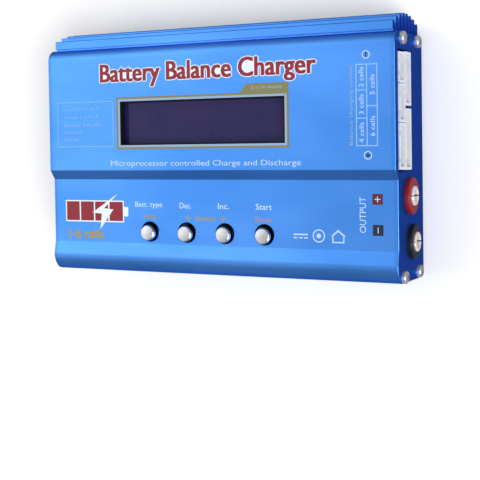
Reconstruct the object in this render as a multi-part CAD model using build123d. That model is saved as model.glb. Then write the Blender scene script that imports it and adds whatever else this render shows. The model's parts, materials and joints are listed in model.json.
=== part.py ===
from build123d import *
import os
from math import sqrt

# Balance battery charger for model battery packs, in millimetres.
# The origin lies under the middle of the case, on the surface that the feet stand on.
# +X points to the end with the balance and output sockets, +Y to the cooling fins, +Z up.

# ---- case: two aluminium extrusions, closed by two end plates ----
case_length = 130.0
wall = 1.6
case_bottom = 2.0
seam_z = 16.2
deck_z = 33.0
lower_deck_z = 30.5
front_top_z = 31.5
front_y = -44.0
front_foot_y = -44.6
front_ridge_y = -37.8
lower_deck_front_y = -33.4
step_bottom_y = -10.4
step_top_y = -7.15
rear_y = 37.2
front_foot_radius = 3.5
front_top_radius = 5.8
ridge_radius = 0.3
step_radius = 0.45
rear_top_radius = 4.0
rear_foot_radius = 3.0
plate_thickness = 1.5
plate_edge_radius = 0.35
seam_lip_height = 2.0
seam_lip_thickness = 1.1
seam_lip_gap = 0.15
seam_lip_root = 4.2

# ---- cooling fins: their tips follow an arc ----
fin_count = 8
fin_pitch = 3.8
fin_thickness = 1.7
fin_top_z = 30.2
fin_arc_radius = 31.4
fin_arc_y = 44.1
fin_arc_z = 15.0
fin_tip_radius = 0.5
groove_width = 0.7
groove_floor_z = 29.4

# ---- plate screws and their full-length channels in the extrusions ----
channel_positions = [(-41.9, 26.05), (-41.9, 8.9), (35.1, 26.05), (35.1, 8.9)]
channel_radius = 2.0
channel_hole_radius = 1.05
plate_hole_radius = 1.4
plate_screw_head_radius = 2.15
plate_screw_head_height = 1.6
plate_screw_length = 10.0
recess_width = 0.55

# ---- display: a two-line character module under a cut-out in the deck ----
display_x = -3.45
display_y = 9.7
window_width = 64.1
window_depth = 15.65
gasket_gap = 0.1
gasket_lip = 0.4
gasket_top_z = 32.8
gasket_flange = 3.0
bezel_width = 71.2
bezel_depth = 24.2
bezel_top_z = 30.6
bezel_sheet = 0.3
bezel_window_width = 64.5
bezel_window_depth = 16.2
glass_width = 69.0
glass_depth = 20.0
glass_thickness = 1.1
display_board_width = 80.0
display_board_depth = 36.0
display_board_z = 22.3
display_screw_inset = 2.5
display_pin_count = 16
display_pin_inset = 8.0
display_pin_tail = 0.8
display_pin_top = 1.2
display_pin_hole_radius = 0.5
header_pitch = 2.54

# ---- buttons ----
button_names = ["stop", "dec", "inc", "start"]
button_first_x = -25.3
button_pitch = 14.93
button_hole_y = -29.05
button_y = -29.4
button_hole_radius = 3.65
cap_radius = 2.85
cap_bottom_z = 24.7
cap_top_z = 32.9
cap_edge_radius = 0.9
cap_dome_radius = 24.0
switch_size = 6.0
switch_height = 3.5
switch_edge = 0.4
plunger_radius = 1.75
plunger_gap = 0.08
plunger_bottom_z = 21.8
plunger_top_z = 27.5
switch_cavity_z = 21.2

# ---- circuit boards ----
board_thickness = 1.6
main_board_z = 9.2
main_board_x = (-62.0, 61.5)
main_board_y = (-39.0, 32.5)
control_board_z = 18.4
control_board_x = (-46.0, 38.0)
control_board_y = (-38.0, 31.0)
standoff_flats = 5.5
standoff_socket_depth = 5.0
standoff_stud_length = 3.2
spacer_radius = 2.4
clear_hole_radius = 1.6
front_columns = [(-43.0, -35.0), (34.5, -35.0)]

# ---- inner screws: each head is its radius and height, its reach is how far the thread goes in ----
thread_radius = 1.2
thread_clearance = 0.1
tapped_radius = 1.25
bottom_screw_head_radius = 2.7
bottom_screw_reach = 1.8
board_screw_head = (2.6, 1.8)
display_screw_head = (2.2, 1.7)
board_screw_reach = 4.5
transistor_screw_head = (2.7, 1.9)

# ---- balance sockets: two rows on an upright board behind the right end plate ----
balance_pitch = 2.5
balance_end = 2.45
balance_wall = 0.9
balance_height = 6.4
balance_lower_z = 16.75
balance_upper_z = 23.35
balance_face_x = 66.9
balance_back_x = 59.5
balance_base = 1.6
balance_rows = [
    (balance_lower_z, -7.4, 1.0, [("6s", 7), ("5s", 6)]),
    (balance_upper_z, -7.1, 0.2, [("4s", 5), ("3s", 4), ("2s", 3)]),
]
key_width = 1.3
key_depth = 3.0
pin_side = 0.64
pin_tip_gap = 1.7
pin_tail_x = 56.8
socket_board_x = 57.9
socket_board_y = (-7.9, 32.5)
socket_board_top = 30.1
socket_board_hole_radius = 0.55
balance_window_y = (-7.9, 31.6)
balance_window_z = (16.4, 30.1)

# ---- output sockets for 4 mm plugs ----
output_sockets = [("positive", -16.0, 17.9, 6.1), ("negative", -31.3, 15.5, 5.8)]
collar_thickness = 1.5
collar_edge_radius = 0.5
neck_radius = 4.0
neck_gap = 0.2
neck_length = 12.0
nut_flats = 10.0
nut_thickness = 2.6
nut_gap = 0.05
contact_radius = 3.3
contact_proud = 0.7
contact_length = 22.5
contact_edge = 0.3
plug_bore_radius = 2.0
plug_bore_length = 16.0
contact_slit = 0.5
contact_slit_depth = 8.0
lead_radius = 1.2
lead_bend = 3.0

# ---- input jack and sensor port on the left end plate ----
jack_y = -22.0
jack_z = 18.0
jack_width = 9.0
jack_height = 11.5
jack_back_x = -51.0
jack_shoulder_x = -64.6
jack_nose_x = -67.6
jack_nose_radius = 4.0
jack_mouth_radius = 2.9
jack_mouth_depth = 10.0
jack_pin_radius = 1.25
jack_pin_root_radius = 1.6
jack_pin_recess = 1.0
jack_pin_edge_radius = 0.5
sensor_y = 0.0
sensor_pins = 3
sensor_width = 9.9
sensor_height = 6.4
sensor_face_x = -66.9
sensor_back_x = -58.5
sensor_tail_x = -56.5

# ---- feet ----
foot_radius = 5.0
foot_positions = [(-55.0, -33.0), (55.0, -33.0), (-55.0, 26.0), (55.0, 26.0)]
foot_edge_radius = 0.8

# ---- power parts ----
transistor_xs = [-30.0, -14.0, 2.0, 18.0]
transistor_y = (8.0, 23.5)
transistor_width = 10.0
transistor_body_length = 9.2
transistor_body_height = 3.1
transistor_hole_inset = 2.8
tab_thickness = 1.3
tab_hole_radius = 1.8
pad_thickness = 0.4
pad_margin = 2.0
transistor_lead_reach = 3.5
transistor_lead_rise = 0.8
transistor_lead_side = 0.7
transistor_lead_stub = 1.0
transistor_lead_hole_radius = 0.7
toroid_positions = [(-17.0, -21.0), (8.0, -21.0)]
toroid_inner_radius = 5.0
toroid_outer_radius = 9.0
toroid_height = 4.8
toroid_edge_radius = 0.5
toroid_turns = 18
wire_thickness = 0.9
winding_gap = 0.05
capacitors = [(-54.0, 25.5, 5.0, 15.0), (-54.0, 13.5, 5.0, 15.0), (-50.5, 2.4, 4.0, 12.0)]
capacitor_edge_radius = 0.6
fuse_x = 27.0
fuse_y = -18.0
fuse_length = 20.0
fuse_radius = 2.4
fuse_gap = 0.05
fuse_axis_height = 3.6
clip_offset = 7.5
clip_width = 6.4
clip_depth = 4.4
clip_height = 6.6
clip_mouth = 3.6
buzzer_position = (-51.8, -9.4)
buzzer_radius = 4.7
buzzer_height = 7.5
buzzer_hole_radius = 1.0
buzzer_hole_depth = 1.5
board_link_x = (-6.0, 16.0)
board_link_y = (26.6, 29.4)
resistor_count = 6
resistor_x = (47.0, 53.4)
resistor_first_y = -4.0
resistor_width = 3.2
resistor_pitch = 5.4
resistor_height = 0.6

# ---- small parts on the control board ----
chip_x = -15.0
chip_y = 6.0
chip_size = 10.0
chip_lead_count = 11
chip_lead_pitch = 0.8
chip_lead_reach = 0.9
chip_lead_width = 0.3
chip_lead_height = 0.5
chip_stand = 0.1
chip_top = 1.5
crystal_position = (-34.0, -17.0)
crystal_length = 11.0
crystal_width = 4.6
crystal_height = 3.4
trimmer_position = (-3.0, -15.0)
trimmer_size = 6.6
trimmer_height = 3.6
trimmer_bore_radius = 1.4
trimmer_bore_depth = 0.8

# Planes that follow from the sizes above.
end_x = case_length / 2
plate_x = end_x + plate_thickness
floor_z = case_bottom + wall
main_top_z = main_board_z + board_thickness
control_top_z = control_board_z + board_thickness
display_board_top_z = display_board_z + board_thickness
tab_top_z = floor_z + pad_thickness + tab_thickness
transistor_hole_y = transistor_y[1] - transistor_hole_inset
toroid_middle_z = main_top_z + wire_thickness + 2 * winding_gap + toroid_height / 2
button_xs = [button_first_x + button_pitch * i for i in range(len(button_names))]
display_columns = [
    (display_x + side_x * (display_board_width / 2 - display_screw_inset),
     display_y + side_y * (display_board_depth / 2 - display_screw_inset))
    for side_x in (-1, 1)
    for side_y in (-1, 1)
]
columns = display_columns + front_columns
UP = (Align.CENTER, Align.CENTER, Align.MIN)
DOWN = (Align.CENTER, Align.CENTER, Align.MAX)


def block(x, y, z):
    """A box between the low and high value of each axis."""
    size = [high - low for low, high in (x, y, z)]
    middle = [(high + low) / 2 for low, high in (x, y, z)]
    return Pos(*middle) * Box(*size)


def rod_x(x, y, z, radius):
    """A round bar along X between x[0] and x[1]."""
    return Pos((x[0] + x[1]) / 2, y, z) * Rot(0, 90, 0) * Cylinder(radius, x[1] - x[0])


def rod_z(x, y, z, radius):
    """A round bar along Z between z[0] and z[1]."""
    return Pos(x, y, (z[0] + z[1]) / 2) * Cylinder(radius, z[1] - z[0])


def hexagon(across_flats, height):
    """A hexagonal bar that stands on its origin."""
    return extrude(RegularPolygon(across_flats / 2, 6, major_radius=False), height)


def top_edge(piece):
    """The highest round edge of a turned piece."""
    return piece.edges().filter_by(GeomType.CIRCLE).sort_by(Axis.Z)[-1]


def save(name, *pieces):
    """Write the solids of one named sub-part to its own file."""
    solids = [solid for piece in pieces for solid in piece.solids()]
    export_step(Compound(solids), f"parts/{name}.step")


def pan_screw(head_radius, head_height, shank_radius, shank_length):
    """A cross-recessed pan-head screw: the head's seat is at the origin, the shank points down."""
    head = Cylinder(head_radius, head_height, align=UP)
    head = fillet(top_edge(head), head_height * 0.55)
    recess = Pos(0, 0, head_height * 0.4)
    for turn in (0, 90):
        head -= recess * Rot(0, 0, turn) * Box(head_radius * 1.25, recess_width, head_height, align=UP)
    shank = Cylinder(shank_radius, shank_length, align=DOWN)
    shank = chamfer(shank.edges().sort_by(Axis.Z)[0], shank_radius * 0.4)
    return head + shank


def countersunk_screw(head_radius, head_height, shank_radius, shank_length):
    """A countersunk screw: the flat of the head is at the origin, the shank points up."""
    head = Cone(head_radius, shank_radius, head_height, align=UP)
    for turn in (0, 90):
        head -= Rot(0, 0, turn) * Box(head_radius * 1.1, recess_width, head_height, align=UP)
    return head + Pos(0, 0, head_height) * Cylinder(shank_radius, shank_length, align=UP)


# ---- case ----
def case_outline():
    """The case's outer section in Y and Z, without fins, from the front foot over the deck."""
    corners = [
        (front_foot_y, case_bottom),
        (front_y, front_top_z),
        (front_ridge_y, front_top_z),
        (lower_deck_front_y, lower_deck_z),
        (step_bottom_y, lower_deck_z),
        (step_top_y, deck_z),
        (rear_y, deck_z),
        (rear_y, case_bottom),
    ]
    radii = [front_foot_radius, front_top_radius, ridge_radius, ridge_radius,
             step_radius, step_radius, rear_top_radius, rear_foot_radius]
    return make_face(FilletPolyline(*corners, radius=radii, close=True))


def rectangle(y, z):
    """A rectangle in the section between the low and high value of each axis."""
    return Pos((y[0] + y[1]) / 2, (z[0] + z[1]) / 2) * Rectangle(y[1] - y[0], z[1] - z[0])


def fins():
    """The fins of the rear wall, with rounded tips on one arc."""
    section = Sketch()
    for i in range(fin_count):
        top = fin_top_z - i * fin_pitch
        middle = top - fin_thickness / 2
        reach = sqrt(fin_arc_radius ** 2 - (middle - fin_arc_z) ** 2) - fin_arc_radius
        fin = rectangle((rear_y - wall / 2, fin_arc_y + reach), (top - fin_thickness, top))
        section += fillet(fin.vertices().sort_by(Axis.X)[-2:], fin_tip_radius)
    return section


def seam_lips():
    """Two lips on the lower extrusion that overlap the upper one inside the seam."""
    lean = (front_foot_y - front_y) * (front_top_z - seam_z) / (front_top_z - case_bottom)
    front_face = front_y + lean + wall
    rear_face = rear_y - wall
    lips = Sketch()
    for face, inward in ((front_face, 1), (rear_face, -1)):
        root = face - inward * wall / 3
        near = face + inward * seam_lip_gap
        far = near + inward * seam_lip_thickness
        base = seam_z - seam_lip_root
        tip = seam_z + seam_lip_height
        lips += make_face(Polyline((root, base), (root, seam_z), (near, seam_z), (near, tip),
                                   (far, tip), (far, base + seam_lip_thickness), close=True))
    return lips


def case_section():
    """Walls, fins and screw channels of the whole case."""
    outline = case_outline()
    section = outline - offset(outline, amount=-wall, kind=Kind.INTERSECTION)
    section += fins()
    section -= rectangle((rear_y - groove_width / 4, rear_y + groove_width * 3 / 4),
                         (groove_floor_z, deck_z))
    for y, z in channel_positions:
        section += Pos(y, z) * Circle(channel_radius) & outline
        section -= Pos(y, z) * Circle(channel_hole_radius)
    return section


def extruded(section):
    """A case section drawn out along X, centred."""
    return extrude(Plane.YZ * section, case_length / 2, both=True)


def top_shell():
    """The upper extrusion, with the display cut-out and the button holes."""
    shell = extruded(case_section() & rectangle((-60, 60), (seam_z, 40)))
    shell -= Pos(display_x, display_y, deck_z) * Box(window_width, window_depth, 4 * wall)
    for x in button_xs:
        shell -= Pos(x, button_hole_y, lower_deck_z) * Cylinder(button_hole_radius, 4 * wall)
    return shell


def bottom_shell():
    """The lower extrusion, with its holes for the standoffs' and the transistors' screws."""
    shell = extruded(case_section() & rectangle((-60, 60), (-5, seam_z)) + seam_lips())
    for x, y in columns:
        shell -= Pos(x, y, case_bottom) * Cone(bottom_screw_head_radius + thread_clearance,
                                               thread_radius + thread_clearance, wall, align=UP)
    for x in transistor_xs:
        shell -= rod_z(x, transistor_hole_y, (0, floor_z + 1), thread_radius + thread_clearance)
    return shell


def blank_plate():
    """An end plate without its sockets' openings, lying from x = 0 outwards."""
    outline = Plane.YZ * case_outline()
    plate = extrude(outline, plate_thickness)
    rim = plate.faces().sort_by(Axis.X)[-1].outer_wire().edges()
    plate = fillet(rim, plate_edge_radius)
    for y, z in channel_positions:
        plate -= rod_x((-1, plate_thickness + 1), y, z, plate_hole_radius)
    return plate


def right_end_plate():
    """The end plate with the balance window and the two output holes."""
    plate = Pos(end_x, 0, 0) * blank_plate()
    plate -= block((end_x - 1, plate_x + 1), balance_window_y, balance_window_z)
    for _, y, z, _ in output_sockets:
        plate -= rod_x((end_x - 1, plate_x + 1), y, z, neck_radius + neck_gap)
    return plate


def left_end_plate():
    """The end plate with the input jack's hole and the sensor port's window."""
    plate = Pos(-end_x, 0, 0) * mirror(blank_plate(), Plane.YZ)
    plate -= rod_x((-plate_x - 1, -end_x + 1), jack_y, jack_z, jack_nose_radius + neck_gap)
    side = sensor_width / 2 + 2 * neck_gap
    plate -= block((-plate_x - 1, -end_x + 1), (sensor_y - side, sensor_y + side),
                   (main_top_z - neck_gap, main_top_z + sensor_height + 2 * neck_gap))
    return plate


def plate_screws(side):
    """The four screws of one end plate: side is 1 on the right and -1 on the left."""
    screw = pan_screw(plate_screw_head_radius, plate_screw_head_height,
                      channel_hole_radius - 0.05, plate_screw_length)
    turn = Rot(0, 90 * side, 0)
    return [Pos(side * plate_x, y, z) * turn * Rot(0, 0, 20 + 35 * i) * screw
            for i, (y, z) in enumerate(channel_positions)]


def rubber_feet():
    """Four round feet under the lower extrusion."""
    foot = Cylinder(foot_radius, case_bottom, align=UP)
    foot = fillet(foot.edges().sort_by(Axis.Z)[0], foot_edge_radius)
    return [Pos(x, y, 0) * foot for x, y in foot_positions]


# ---- display ----
def display_frame(width, depth, z, opening_width, opening_depth):
    """A rectangular frame centred on the display."""
    middle = Pos(display_x, display_y, (z[0] + z[1]) / 2)
    height = z[1] - z[0]
    return middle * (Box(width, depth, height) - Box(opening_width, opening_depth, height + 1))


def display_gasket():
    """The black frame that seals the module to the deck and lines the cut-out."""
    lip_width = window_width - 2 * gasket_gap
    lip_depth = window_depth - 2 * gasket_gap
    opening = (lip_width - 2 * gasket_lip, lip_depth - 2 * gasket_lip)
    lip = display_frame(lip_width, lip_depth, (bezel_top_z, gasket_top_z), *opening)
    flange = display_frame(lip_width + 2 * gasket_flange, lip_depth + 2 * gasket_flange,
                           (bezel_top_z, deck_z - wall - gasket_gap), *opening)
    return lip + flange


def lcd_bezel():
    """The folded metal frame that holds the glass on the display board."""
    sides = display_frame(bezel_width, bezel_depth, (display_board_top_z, bezel_top_z),
                          bezel_width - 2 * bezel_sheet, bezel_depth - 2 * bezel_sheet)
    face = display_frame(bezel_width, bezel_depth, (bezel_top_z - bezel_sheet, bezel_top_z),
                         bezel_window_width, bezel_window_depth)
    return sides + face


def lcd_layer(width, depth, z):
    """A flat layer of the display, centred on it."""
    return Pos(display_x, display_y, (z[0] + z[1]) / 2) * Box(width, depth, z[1] - z[0])


def display_pin_positions():
    """The row of pins along the rear edge of the display board."""
    first = display_x - display_board_width / 2 + display_pin_inset
    rear = display_y + display_board_depth / 2 - display_screw_inset
    return [(first + i * header_pitch, rear) for i in range(display_pin_count)]


def drilled_board(x, y, z, pins, pin_hole_radius, holes):
    """A circuit board with its pin holes and its clearance holes for the columns."""
    board = block(x, y, (z, z + board_thickness))
    for px, py in pins:
        board -= rod_z(px, py, (z - 1, z + board_thickness + 1), pin_hole_radius)
    for hx, hy in holes:
        board -= rod_z(hx, hy, (z - 1, z + board_thickness + 1), clear_hole_radius)
    return board


def display_board():
    """The display module's own circuit board."""
    half_width = display_board_width / 2
    half_depth = display_board_depth / 2
    return drilled_board((display_x - half_width, display_x + half_width),
                         (display_y - half_depth, display_y + half_depth),
                         display_board_z, display_pin_positions(), display_pin_hole_radius,
                         display_columns)


def display_pins():
    """Sixteen pins that join the display board to the control board."""
    half = pin_side / 2
    return [block((x - half, x + half), (y - half, y + half),
                  (control_board_z - display_pin_tail, display_board_top_z + display_pin_top))
            for x, y in display_pin_positions()]


# ---- boards and their columns ----
def control_board():
    """The upper circuit board, which carries the switches and the display."""
    return drilled_board(control_board_x, control_board_y, control_board_z,
                         display_pin_positions(), display_pin_hole_radius, columns)


def transistor_lead_positions():
    """Where the transistors' leads pass through the main board."""
    return [(x + step * header_pitch, transistor_y[0] - transistor_lead_reach)
            for x in transistor_xs for step in (-1, 0, 1)]


def main_board():
    """The lower circuit board, which carries the power parts."""
    return drilled_board(main_board_x, main_board_y, main_board_z,
                         transistor_lead_positions(), transistor_lead_hole_radius, columns)


def lower_standoffs():
    """Hexagonal standoffs between the floor and the main board."""
    height = main_board_z - floor_z
    standoff = hexagon(standoff_flats, height) - Cylinder(tapped_radius, height, align=UP)
    return [Pos(x, y, floor_z) * standoff for x, y in columns]


def upper_standoffs():
    """Hexagonal standoffs between the two boards, with a stud into the lower standoff."""
    height = control_board_z - main_top_z
    standoff = hexagon(standoff_flats, height)
    standoff -= Pos(0, 0, height) * Cylinder(tapped_radius, standoff_socket_depth, align=DOWN)
    standoff += Cylinder(thread_radius, standoff_stud_length, align=DOWN)
    return [Pos(x, y, main_top_z) * standoff for x, y in columns]


def bottom_screws():
    """Countersunk screws that hold the standoffs to the lower extrusion."""
    screw = countersunk_screw(bottom_screw_head_radius, wall, thread_radius, bottom_screw_reach)
    return [Pos(x, y, case_bottom) * screw for x, y in columns]


def board_screws():
    """Two screws at the front of the control board."""
    screw = pan_screw(*board_screw_head, thread_radius, board_thickness + board_screw_reach)
    return [Pos(x, y, control_top_z) * screw for x, y in front_columns]


def display_spacers():
    """Round spacers between the control board and the display board."""
    height = display_board_z - control_top_z
    spacer = Cylinder(spacer_radius, height, align=UP)
    spacer -= Cylinder(tapped_radius + thread_clearance, height, align=UP)
    return [Pos(x, y, control_top_z) * spacer for x, y in display_columns]


def display_screws():
    """Four screws through the display board, its spacers and the control board."""
    depth = display_board_top_z - control_board_z + board_screw_reach
    screw = pan_screw(*display_screw_head, thread_radius, depth)
    return [Pos(x, y, display_board_top_z) * screw for x, y in display_columns]


# ---- buttons ----
def button_cap(x):
    """A turned cap with a slightly domed top, pushed on its switch's plunger."""
    height = cap_top_z - cap_bottom_z
    cap = Cylinder(cap_radius, height, align=UP)
    cap = fillet(top_edge(cap), cap_edge_radius)
    cap &= Pos(0, 0, height - cap_dome_radius) * Sphere(cap_dome_radius)
    cap -= Cylinder(plunger_radius, plunger_top_z - cap_bottom_z, align=UP)
    return Pos(x, button_y, cap_bottom_z) * cap


def button_plunger(x):
    """The moving stem of one push switch."""
    return rod_z(x, button_y, (plunger_bottom_z, plunger_top_z), plunger_radius)


def push_switch_bodies():
    """The four square switch bodies, each with the well that its plunger runs in."""
    body = Box(switch_size, switch_size, switch_height, align=UP)
    well = plunger_radius + plunger_gap
    depth = control_top_z + switch_height - switch_cavity_z
    body -= Pos(0, 0, switch_height) * Cylinder(well, depth, align=DOWN)
    body = chamfer(body.edges().filter_by(Axis.Z).group_by(Axis.X)[-1], switch_edge)
    return [Pos(x, button_y, control_top_z) * body for x in button_xs]


# ---- balance sockets ----
def balance_layout():
    """Name, pin count, low Y and low Z of each balance socket."""
    layout = []
    for low_z, low_y, gap, row in balance_rows:
        for name, pins in row:
            layout.append((name, pins, low_y, low_z))
            low_y += (pins - 1) * balance_pitch + 2 * balance_end + gap
    return layout


def socket_housing(length, height, depth):
    """A shrouded pin socket that opens towards +X: its back lower corner is at the origin."""
    body = block((0, depth), (0, length), (0, height))
    body -= block((balance_base, depth + 1), (balance_wall, length - balance_wall),
                  (balance_wall, height - balance_wall))
    for middle in (balance_end + key_width / 2, length - balance_end - key_width / 2):
        body -= block((depth - key_depth, depth + 1),
                      (middle - key_width / 2, middle + key_width / 2),
                      (height - balance_wall - 0.1, height + 1))
    return body


def balance_socket(pins, low_y, low_z):
    """One balance socket with holes for its pins."""
    length = (pins - 1) * balance_pitch + 2 * balance_end
    body = socket_housing(length, balance_height, balance_face_x - balance_back_x)
    body = Pos(balance_back_x, low_y, low_z) * body
    for y, z in pin_centres(pins, low_y, low_z):
        body -= square_pin((balance_back_x - 1, balance_back_x + balance_base + 1), y, z)
    return body


def pin_centres(pins, low_y, low_z):
    """Y and Z of the pins of one socket."""
    return [(low_y + balance_end + i * balance_pitch, low_z + balance_height / 2)
            for i in range(pins)]


def square_pin(x, y, z):
    """A square pin along X."""
    half = pin_side / 2
    return block(x, (y - half, y + half), (z - half, z + half))


def all_pin_centres():
    """Y and Z of every balance pin."""
    return [centre for _, pins, y, z in balance_layout() for centre in pin_centres(pins, y, z)]


def balance_pins():
    """The pins of all balance sockets, through the upright board."""
    return [square_pin((pin_tail_x, balance_face_x - pin_tip_gap), y, z)
            for y, z in all_pin_centres()]


def socket_board():
    """The upright circuit board that the balance sockets are soldered to."""
    x = (socket_board_x, socket_board_x + board_thickness)
    board = block(x, socket_board_y, (main_top_z, socket_board_top))
    for y, z in all_pin_centres():
        board -= rod_x((x[0] - 1, x[1] + 1), y, z, socket_board_hole_radius)
    return board


# ---- output sockets ----
def output_collar(y, z, radius):
    """The insulating collar and neck of one output socket."""
    collar = Cylinder(radius, collar_thickness, align=UP)
    collar = fillet(top_edge(collar), collar_edge_radius)
    collar += Cylinder(neck_radius, neck_length, align=DOWN)
    collar -= Cylinder(contact_radius, 3 * neck_length)
    return Pos(plate_x, y, z) * Rot(0, 90, 0) * collar


def output_contact(y, z):
    """The slit metal tube that takes the plug, with its solder end."""
    mouth = plate_x + collar_thickness + contact_proud
    tube = Cylinder(contact_radius, contact_length, align=DOWN)
    tube = fillet(top_edge(tube), contact_proud * 0.8)
    tube -= Cylinder(plug_bore_radius, plug_bore_length, align=DOWN)
    tube = chamfer(tube.edges().filter_by(GeomType.CIRCLE).sort_by(Axis.Z)[-1], contact_edge)
    tube -= Box(contact_slit, 3 * contact_radius, 2 * contact_slit_depth)
    return Pos(mouth, y, z) * Rot(0, 90, 0) * Rot(0, 0, 90) * tube


def output_nuts():
    """The nuts that clamp the two output sockets to the plate."""
    nut = hexagon(nut_flats, nut_thickness) - Cylinder(neck_radius + nut_gap, 3 * nut_thickness)
    return [Pos(end_x - nut_thickness, y, z) * Rot(0, 90, 0) * nut
            for _, y, z, _ in output_sockets]


def output_lead(y, z):
    """The insulated wire from one output contact down to the main board."""
    start = plate_x + collar_thickness + contact_proud - contact_length
    corner = start - 1.5 * lead_bend
    path = FilletPolyline((start, y, z), (corner, y, z), (corner, y, main_top_z), radius=lead_bend)
    section = Plane((start, y, z), z_dir=(-1, 0, 0)) * Circle(lead_radius)
    return sweep(section, path)


# ---- left end ----
def input_jack():
    """The input jack's housing: a block on the board and a round nose through the plate."""
    half = jack_width / 2
    body = block((jack_shoulder_x, jack_back_x), (jack_y - half, jack_y + half),
                 (main_top_z, main_top_z + jack_height))
    body += rod_x((jack_nose_x, jack_shoulder_x + 1), jack_y, jack_z, jack_nose_radius)
    body -= rod_x((jack_nose_x - 1, jack_nose_x + jack_mouth_depth), jack_y, jack_z,
                  jack_mouth_radius)
    body -= rod_x((jack_nose_x, jack_back_x + 1), jack_y, jack_z, jack_pin_root_radius)
    return body


def input_jack_pin():
    """The centre pin of the input jack, thicker where the housing holds it."""
    mouth_floor = jack_nose_x + jack_mouth_depth
    tip = jack_nose_x + jack_pin_recess
    pin = rod_x((tip, mouth_floor), jack_y, jack_z, jack_pin_radius)
    pin = fillet(pin.edges().filter_by(GeomType.CIRCLE).sort_by(Axis.X)[0], jack_pin_edge_radius)
    return pin + rod_x((mouth_floor, jack_back_x), jack_y, jack_z, jack_pin_root_radius)


def sensor_port():
    """The three-pin sensor port's housing, opening towards -X."""
    body = socket_housing(sensor_width, sensor_height, sensor_back_x - sensor_face_x)
    body = Pos(sensor_back_x, sensor_y - sensor_width / 2, main_top_z) * mirror(body, Plane.YZ)
    for y, z in sensor_pin_centres():
        body -= square_pin((sensor_back_x - balance_base - 1, sensor_back_x + 1), y, z)
    return body


def sensor_pin_centres():
    """Y and Z of the sensor port's pins."""
    first = sensor_y - (sensor_pins - 1) * balance_pitch / 2
    return [(first + i * balance_pitch, main_top_z + sensor_height / 2)
            for i in range(sensor_pins)]


def sensor_port_pins():
    """The pins of the sensor port, bent down to the main board behind it."""
    pins = []
    half = pin_side / 2
    for y, z in sensor_pin_centres():
        pin = square_pin((sensor_face_x + pin_tip_gap, sensor_tail_x), y, z)
        pin += block((sensor_tail_x - pin_side, sensor_tail_x), (y - half, y + half),
                     (main_top_z, z + half))
        pins.append(pin)
    return pins


# ---- power parts ----
def transistor_bodies():
    """The moulded bodies of the power transistors under the main board."""
    y = (transistor_y[0], transistor_y[0] + transistor_body_length)
    z = (tab_top_z, tab_top_z + transistor_body_height)
    half = transistor_width / 2
    return [block((x - half, x + half), y, z) for x in transistor_xs]


def transistor_tabs():
    """The transistors' metal tabs, with their screw holes."""
    half = transistor_width / 2
    tabs = []
    for x in transistor_xs:
        tab = block((x - half, x + half), transistor_y, (tab_top_z - tab_thickness, tab_top_z))
        tabs.append(tab - rod_z(x, transistor_hole_y, (floor_z, tab_top_z + 1), tab_hole_radius))
    return tabs


def transistor_leads():
    """Three leads of each transistor, bent up through the main board."""
    low = tab_top_z + transistor_lead_rise
    half = transistor_lead_side / 2
    leads = []
    for x, y in transistor_lead_positions():
        lead = block((x - half, x + half), (y - half, transistor_y[0]), (low, low + 2 * half))
        lead += block((x - half, x + half), (y - half, y + half),
                      (low, main_top_z + transistor_lead_stub))
        leads.append(lead)
    return leads


def insulating_pad():
    """The thin pad between the transistors and the floor of the case."""
    side = transistor_width / 2 + pad_margin
    pad = block((transistor_xs[0] - side, transistor_xs[-1] + side),
                (transistor_y[0] - pad_margin / 2, transistor_y[1] + pad_margin / 2),
                (floor_z, floor_z + pad_thickness))
    for x in transistor_xs:
        pad -= rod_z(x, transistor_hole_y, (floor_z - 1, floor_z + 1), clear_hole_radius)
    return pad


def transistor_screws():
    """The screws that press the transistors on the pad, threaded into the lower extrusion."""
    screw = pan_screw(*transistor_screw_head, thread_radius, tab_top_z - case_bottom)
    return [Pos(x, transistor_hole_y, tab_top_z) * screw for x in transistor_xs]


def toroid_cores():
    """The ring cores of the two power inductors, lying on the main board."""
    ring = Cylinder(toroid_outer_radius, toroid_height) - Cylinder(toroid_inner_radius, 20)
    ring = fillet(ring.edges().filter_by(GeomType.CIRCLE), toroid_edge_radius)
    return [Pos(x, y, toroid_middle_z) * ring for x, y in toroid_positions]


def toroid_windings():
    """The turns of enamelled wire round each ring core."""
    near = toroid_inner_radius - winding_gap
    far = toroid_outer_radius + winding_gap
    rise = toroid_height / 2 + winding_gap
    half = wire_thickness / 2
    turn = block((near - wire_thickness, far + wire_thickness), (-half, half),
                 (-rise - wire_thickness, rise + wire_thickness))
    turn -= block((near, far), (-wire_thickness, wire_thickness), (-rise, rise))
    return [Pos(x, y, toroid_middle_z) * Rot(0, 0, 360 * i / toroid_turns) * turn
            for x, y in toroid_positions for i in range(toroid_turns)]


def capacitor_cans():
    """The electrolytic capacitors at the left end of the main board."""
    cans = []
    for x, y, radius, height in capacitors:
        can = Cylinder(radius, height, align=UP)
        can = fillet(top_edge(can), capacitor_edge_radius)
        cans.append(Pos(x, y, main_top_z) * can)
    return cans


def input_fuse():
    """The glass tube of the fuse, lying along Y on the main board."""
    place = Pos(fuse_x, fuse_y, main_top_z + fuse_axis_height)
    return place * Rot(90, 0, 0) * Cylinder(fuse_radius, fuse_length)


def fuse_clips():
    """The two clips that hold the fuse."""
    clip = Box(clip_width, clip_depth, clip_height, align=UP)
    clip -= Pos(0, 0, fuse_axis_height) * Rot(90, 0, 0) * Cylinder(fuse_radius + fuse_gap, fuse_length)
    clip -= Pos(0, 0, fuse_axis_height) * Box(clip_mouth, fuse_length, clip_height, align=UP)
    return [Pos(fuse_x, fuse_y + side * clip_offset, main_top_z) * clip for side in (-1, 1)]


def buzzer():
    """The round sounder beside the input jack."""
    body = Cylinder(buzzer_radius, buzzer_height, align=UP)
    body -= Pos(0, 0, buzzer_height) * Cylinder(buzzer_hole_radius, buzzer_hole_depth, align=DOWN)
    return Pos(*buzzer_position, main_top_z) * body


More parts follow.
